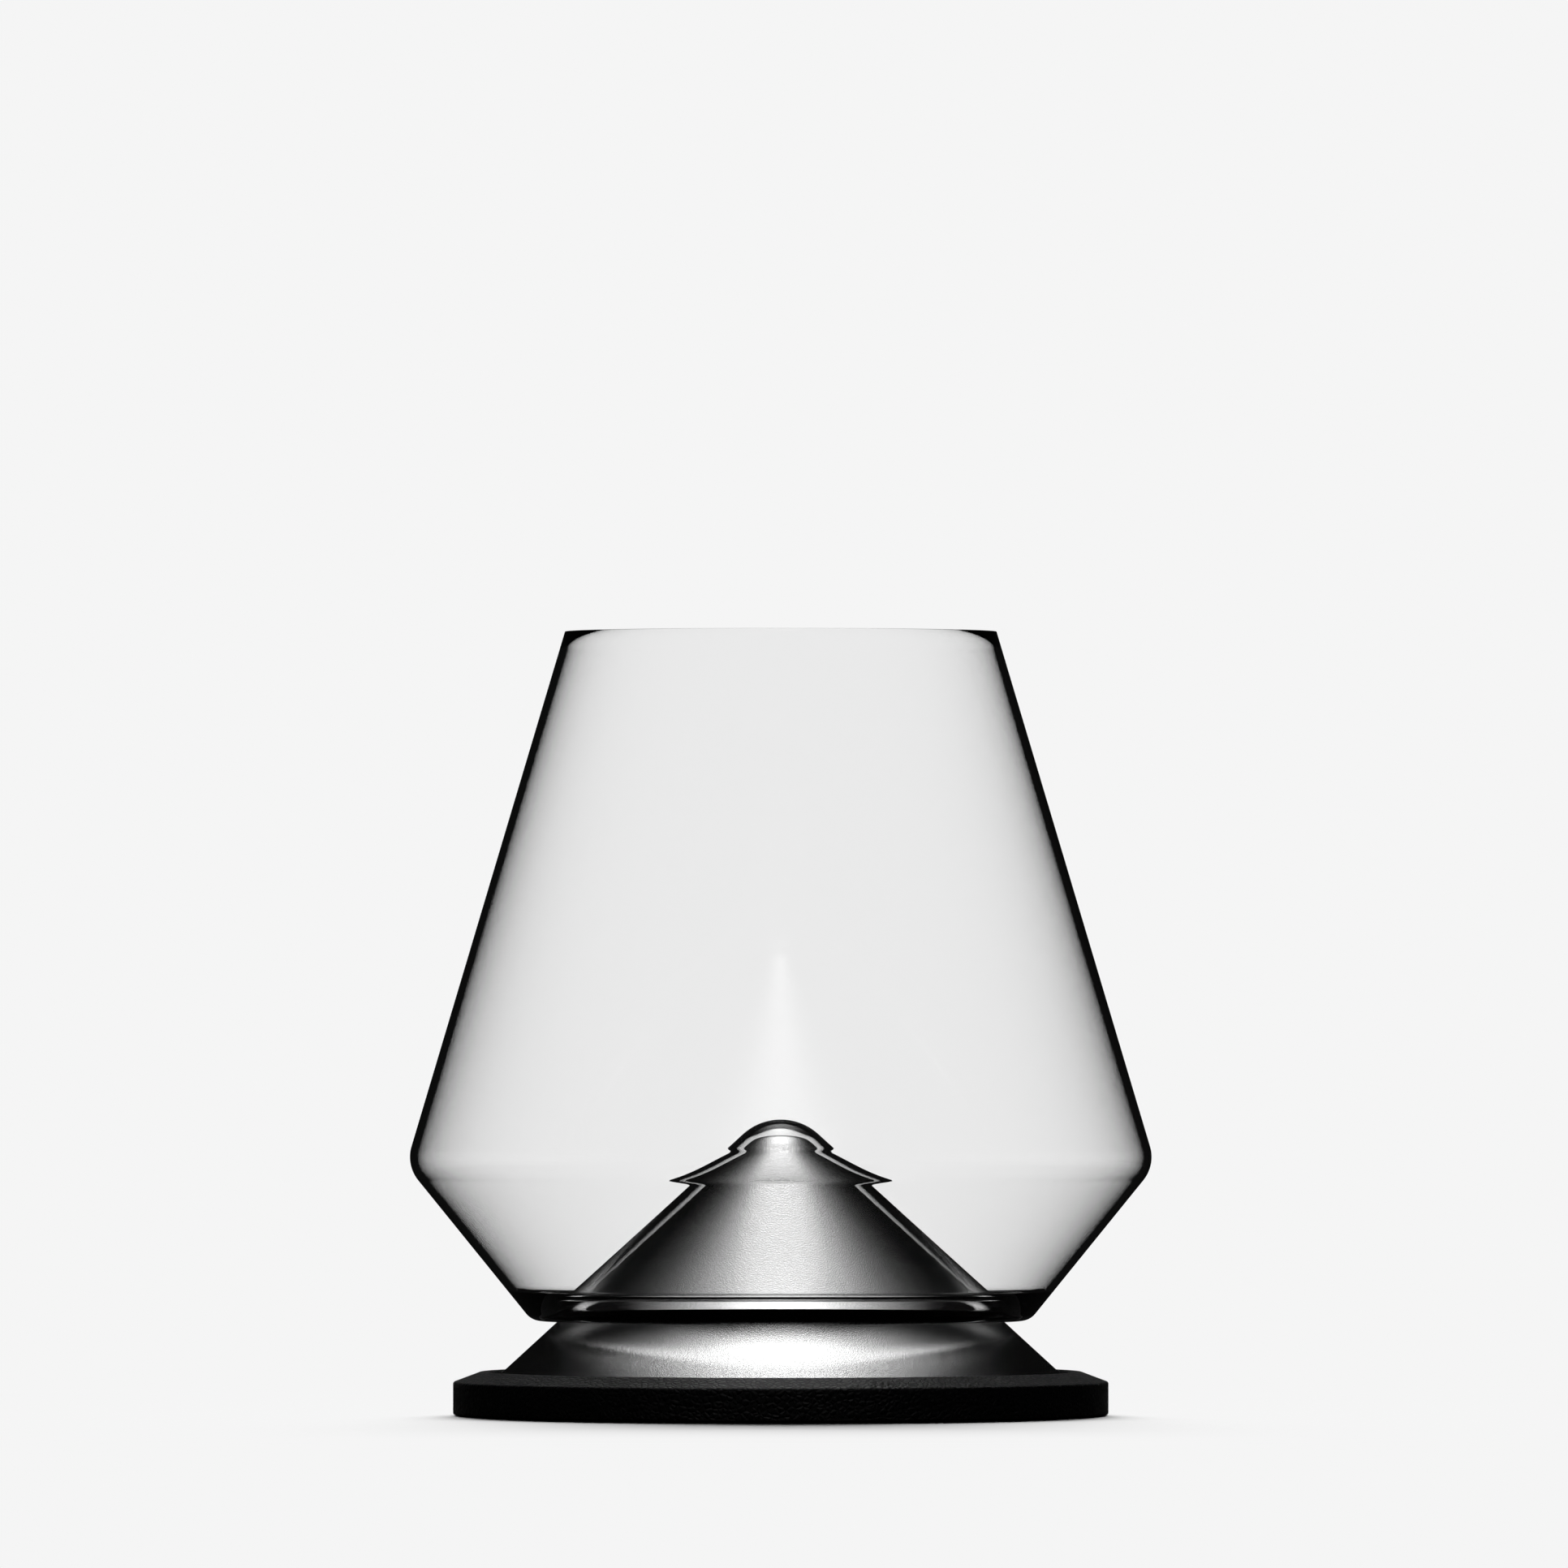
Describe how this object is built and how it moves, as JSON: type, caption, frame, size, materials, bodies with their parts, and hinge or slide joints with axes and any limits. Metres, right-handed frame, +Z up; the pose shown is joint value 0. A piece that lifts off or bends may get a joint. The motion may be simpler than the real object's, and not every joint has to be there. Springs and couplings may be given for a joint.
{
  "type": "tasting glass on a chilled cone",
  "caption": "Stemless tasting glass with a conical punt, seated on a chillable satin steel cone that stands in a round leather coaster.",
  "frame": {"origin": "middle of the coaster's underside, on the table", "axes": "+Z up along the common axis of glass, cone and coaster; X and Y are alike"},
  "size_m": [0.0984, 0.0984, 0.104],
  "materials": {
    "clear_glass": "polished",
    "satin_steel": "satin",
    "plate_steel": "satin",
    "coolant_gel": "gloss",
    "plug_steel": "satin",
    "seal_rubber": "matte",
    "black_leather": "satin",
    "core_board": "matte",
    "suede_lining": "matte"
  },
  "bodies": {
    "coaster": {"leather_cover": "black_leather", "core_disc": "core_board", "base_lining": "suede_lining"},
    "chill_base": {"cone_shell": "satin_steel", "base_plate": "plate_steel", "cold_gel": "coolant_gel", "fill_plug": "plug_steel", "plug_gasket": "seal_rubber"},
    "glass": {"glass_bowl": "clear_glass"}
  },
  "joints": [
    {"name": "base_lift", "type": "slide", "parent": "coaster", "child": "chill_base", "axis": [0, 0, 1], "range_m": [0, 0.04]},
    {"name": "glass_lift", "type": "slide", "parent": "chill_base", "child": "glass", "axis": [0, 0, 1], "range_m": [0, 0.045]}
  ]
}
